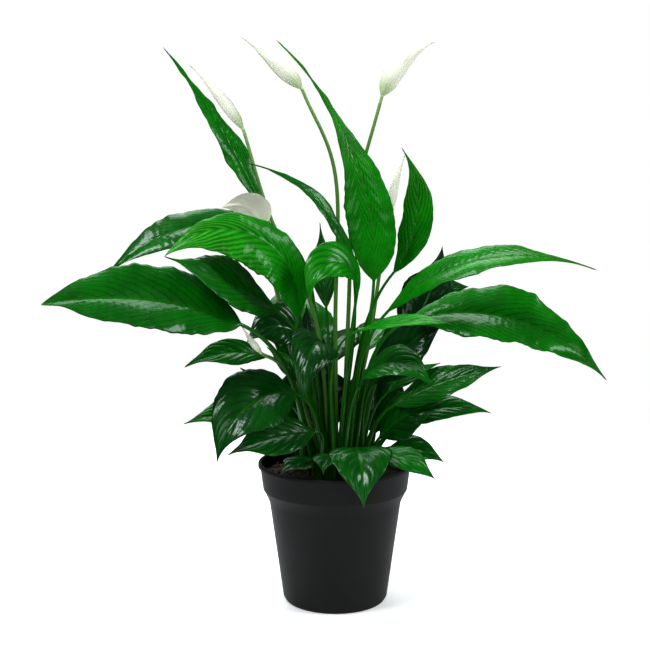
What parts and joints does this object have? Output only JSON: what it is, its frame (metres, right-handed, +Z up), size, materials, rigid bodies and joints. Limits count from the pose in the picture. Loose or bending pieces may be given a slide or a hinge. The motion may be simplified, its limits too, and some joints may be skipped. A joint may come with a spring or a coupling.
{
  "type": "potted peace lily",
  "caption": "Peace lily in a black nursery pot: a clump of glossy lance-shaped leaves on long stalks, with furled and open white flower hoods.",
  "frame": {"origin": "centre of the pot's flat underside, on the pot's axis", "axes": "+Z up along the pot's axis; +X to the right and -Y towards the viewer of the plant's best side"},
  "size_m": [0.401, 0.2578, 0.4343],
  "materials": {
    "pot": "matte charcoal-black moulded plastic",
    "soil": "moist, dark, crumbly peat and bark mix",
    "leaf": "waxy deep green leaf, glossy on top, with sunken curved side veins",
    "stalk": "smooth pale green stalk",
    "spathe": "satin cream-white petal, greenish at its foot",
    "spadix": "knobbly matte cream-yellow spike"
  },
  "bodies": {
    "root": {"pot": "pot", "potting_mix": "soil", "leaf_tall_left": "leaf", "leaf_centre_tall": "leaf", "leaf_upright_right": "leaf", "leaf_thin_arch": "leaf", "leaf_broad_upper_left": "leaf", "leaf_far_upper_left": "leaf", "leaf_middle_upper_left": "leaf", "leaf_upper_right_arch": "leaf", "leaf_right_long": "leaf", "leaf_right_back_round": "leaf", "leaf_right_back_pale": "leaf", "leaf_back_tip": "leaf", "leaf_front_arch": "leaf", "leaf_left_long": "leaf", "leaf_left_small": "leaf", "leaf_left_short": "leaf", "leaf_left_inner": "leaf", "leaf_left_dark": "leaf", "leaf_left_drooping": "leaf", "leaf_centre_drooping": "leaf", "leaf_centre_front": "leaf", "leaf_right_arch_low": "leaf", "leaf_right_inner": "leaf", "leaf_right_middle": "leaf", "leaf_right_small": "leaf", "leaf_rim_far_left": "leaf", "leaf_rim_left": "leaf", "leaf_rim_front_left": "leaf", "leaf_rim_front": "leaf", "leaf_front_drop": "leaf", "leaf_rim_right": "leaf", "leaf_rim_far_right": "leaf", "leaf_right_low": "leaf", "leaf_right_low_pale": "leaf", "leaf_back_left": "leaf", "leaf_back_middle": "leaf", "leaf_back_right": "leaf", "leaf_back_low_left": "leaf", "leaf_back_low_middle": "leaf", "leaf_back_low_right": "leaf", "leaf_back_upright_left": "leaf", "stalk_left": "stalk", "stalk_centre": "stalk", "stalk_right": "stalk", "stalk_back": "stalk", "stalk_bud": "stalk", "stalk_open": "stalk", "spathe_left": "spathe", "spathe_centre": "spathe", "spathe_right": "spathe", "spathe_back": "spathe", "spathe_bud": "spathe", "spathe_open": "spathe", "spadix_open": "spadix"}
  },
  "joints": []
}
